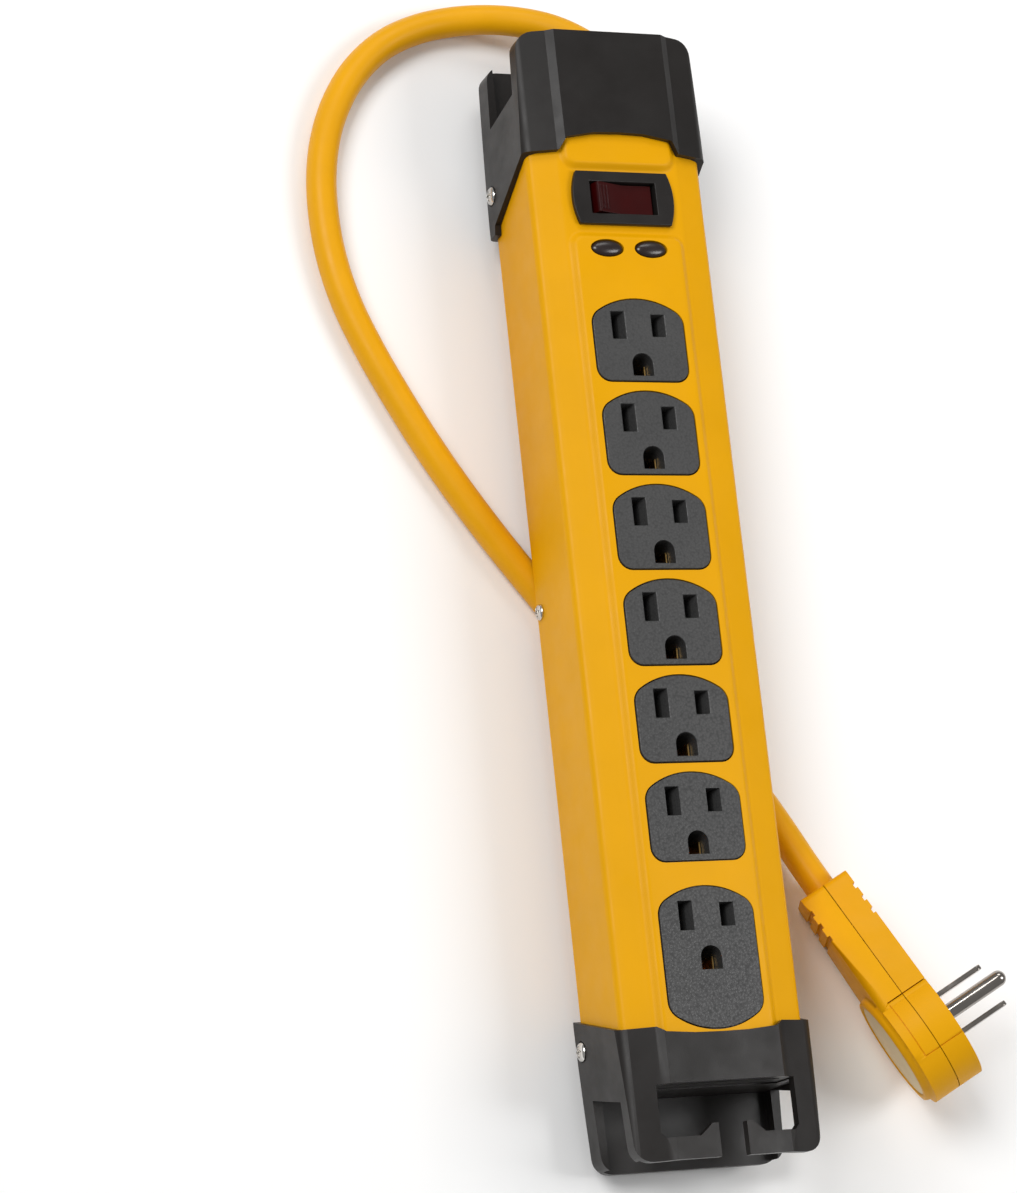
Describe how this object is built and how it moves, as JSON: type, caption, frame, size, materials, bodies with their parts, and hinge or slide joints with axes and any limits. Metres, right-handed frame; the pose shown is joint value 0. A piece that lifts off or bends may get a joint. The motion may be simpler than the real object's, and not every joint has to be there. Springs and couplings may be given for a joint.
{
  "type": "power strip with surge protection",
  "caption": "Long metal power strip with moulded end caps, grounded outlets, a rocker switch, a mains cord and a flat plug whose prong disc turns.",
  "frame": {"origin": "centre of the footprint of the strip, on the surface that its feet stand on", "axes": "+Y along the strip towards the cord's end cap, +Z out of the outlets, +X to the right seen from the outlets with the cord's end up"},
  "size_m": [0.1863, 0.3594, 0.0451],
  "materials": {
    "yellow_paint": "smooth gloss paint on sheet steel",
    "cap_plastic": "semi-gloss moulded black plastic",
    "foot_rubber": "matt rubber",
    "outlet_plastic": "fine leather grain",
    "tray_plastic": "plain moulded plastic",
    "contact_brass": "bright stamped brass",
    "rocker_red": "dark red translucent gloss",
    "nickel": "nickel plating",
    "lens_dark": "dark tinted gloss",
    "led_green": "clear tinted epoxy",
    "board_green": "solder mask",
    "varistor_blue": "epoxy dip",
    "lead_black": "wire insulation",
    "cord_yellow": "soft vinyl jacket",
    "plug_yellow": "satin moulded vinyl",
    "label_cream": "plain paper label"
  },
  "bodies": {
    "strip": {"front_housing": "yellow_paint", "back_plate": "yellow_paint", "top_end_cap": "cap_plastic", "bottom_end_cap": "cap_plastic", "rubber_feet": "foot_rubber", "outlet_face_1": "outlet_plastic", "outlet_face_2": "outlet_plastic", "outlet_face_3": "outlet_plastic", "outlet_face_4": "outlet_plastic", "outlet_face_5": "outlet_plastic", "outlet_face_6": "outlet_plastic", "outlet_face_7": "outlet_plastic", "outlet_tray": "tray_plastic", "hot_bus": "contact_brass", "neutral_bus": "contact_brass", "ground_bus": "contact_brass", "switch_bezel": "cap_plastic", "breaker_body": "tray_plastic", "breaker_terminals": "contact_brass", "rocker_pin": "nickel", "ground_lens": "lens_dark", "protection_lens": "lens_dark", "indicator_leds": "led_green", "surge_board": "board_green", "varistors": "varistor_blue", "thermal_fuse": "nickel", "inner_leads": "lead_black", "cord_gland": "cap_plastic", "strain_relief": "cord_yellow", "cord": "cord_yellow", "cap_screws": "nickel", "housing_screws": "nickel", "plug_front_shell": "plug_yellow", "plug_back_shell": "plug_yellow", "plug_label": "label_cream", "wiper_contacts": "contact_brass", "plug_leads": "lead_black", "plug_screws": "nickel"},
    "rocker": {"rocker": "rocker_red"},
    "prong_disc": {"plug_disc": "plug_yellow", "hot_blade": "nickel", "neutral_blade": "nickel", "ground_pin": "nickel", "slip_rings": "contact_brass"}
  },
  "joints": [
    {"name": "rocker_tilt", "type": "hinge", "parent": "strip", "child": "rocker", "pos_m": [0, 0.1154, 0.0385], "axis": [0, -1, 0], "range_deg": [0, 18]},
    {"name": "prong_spin", "type": "hinge", "parent": "strip", "child": "prong_disc", "pos_m": [0.07446, -0.13405, 0.02061], "axis": [0.8146, 0.4684, 0.342], "continuous": true}
  ]
}
